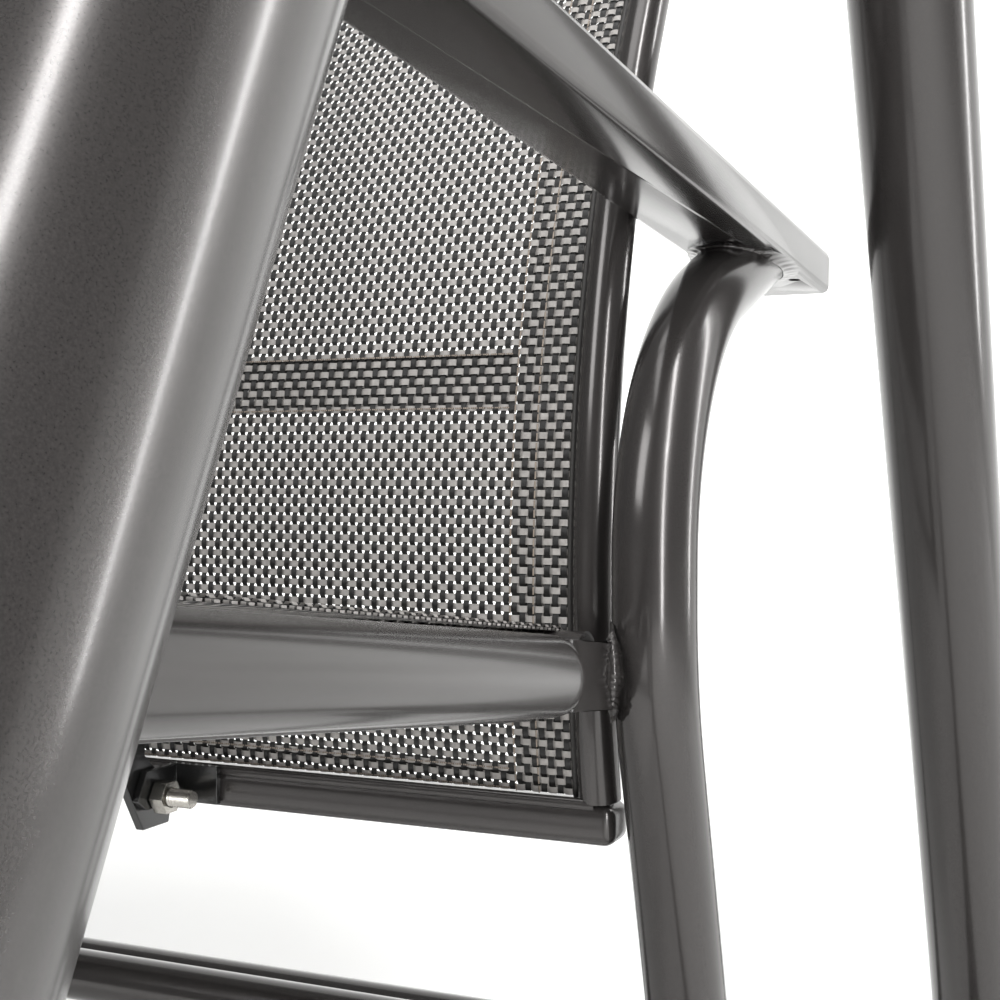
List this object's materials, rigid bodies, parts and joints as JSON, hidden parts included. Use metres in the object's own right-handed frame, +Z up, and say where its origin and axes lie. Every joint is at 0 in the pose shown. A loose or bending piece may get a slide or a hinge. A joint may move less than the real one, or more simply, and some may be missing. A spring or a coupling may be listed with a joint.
{
  "type": "porch swing",
  "caption": "Free-standing garden porch swing: mesh sling bench with curved posts and flat armrests, hung on pivots from a bent-tube stand.",
  "frame": {"origin": "on the ground at the centre of the stand, below the pivot line", "axes": "+X to the sitter's left, the right side when seen from the front, -Y to the front, +Z up"},
  "size_m": [1.456, 1.206, 1.491],
  "materials": {
    "frame_coat": "gloss anthracite metallic powder coat",
    "black_coat": "gloss black powder coat",
    "zinc": "bright zinc plate",
    "black_plastic": "moulded, fine texture",
    "sling": "open woven coated polyester mesh, grey and black"
  },
  "bodies": {
    "stand": {"top_beam": "frame_coat", "rear_brace": "frame_coat", "stand_leg_front_right": "frame_coat", "stand_leg_rear_right": "frame_coat", "foot_cap_front_right": "black_plastic", "foot_cap_rear_right": "black_plastic", "corner_fitting_right": "frame_coat", "side_brace_right": "frame_coat", "pivot_bracket_right": "frame_coat", "pivot_bolt_right": "zinc", "pivot_nut_right": "zinc", "stand_leg_front_left": "frame_coat", "stand_leg_rear_left": "frame_coat", "foot_cap_front_left": "black_plastic", "foot_cap_rear_left": "black_plastic", "corner_fitting_left": "frame_coat", "side_brace_left": "frame_coat", "pivot_bracket_left": "frame_coat", "pivot_bolt_left": "zinc", "pivot_nut_left": "zinc"},
    "bench": {"lower_front_tube": "frame_coat", "lower_rear_tube": "frame_coat", "seat_front_bar": "frame_coat", "seat_rear_bar": "frame_coat", "back_top_bar": "frame_coat", "back_end_bar": "frame_coat", "seat_sling": "sling", "back_sling": "sling", "armrest_right": "frame_coat", "rear_post_right": "frame_coat", "front_post_right": "frame_coat", "seat_stretcher_right": "frame_coat", "hanger_front_right": "frame_coat", "hanger_rear_right": "frame_coat", "pivot_bush_outer_right": "black_plastic", "pivot_bush_inner_right": "black_plastic", "seat_rail_right": "frame_coat", "seat_tab_right": "frame_coat", "back_rail_right": "frame_coat", "back_tab_right": "frame_coat", "back_support_right": "black_coat", "back_bracket_right": "black_coat", "clamp_bolt_right": "zinc", "clamp_nut_right": "zinc", "armrest_left": "frame_coat", "rear_post_left": "frame_coat", "front_post_left": "frame_coat", "seat_stretcher_left": "frame_coat", "hanger_front_left": "frame_coat", "hanger_rear_left": "frame_coat", "pivot_bush_outer_left": "black_plastic", "pivot_bush_inner_left": "black_plastic", "seat_rail_left": "frame_coat", "seat_tab_left": "frame_coat", "back_rail_left": "frame_coat", "back_tab_left": "frame_coat", "back_support_left": "black_coat", "back_bracket_left": "black_coat", "clamp_bolt_left": "zinc", "clamp_nut_left": "zinc"}
  },
  "joints": [
    {"name": "bench_swing", "type": "hinge", "parent": "stand", "child": "bench", "pos_m": [0, 0, 1.42], "axis": [1, 0, 0], "range_deg": [-22, 22]}
  ]
}
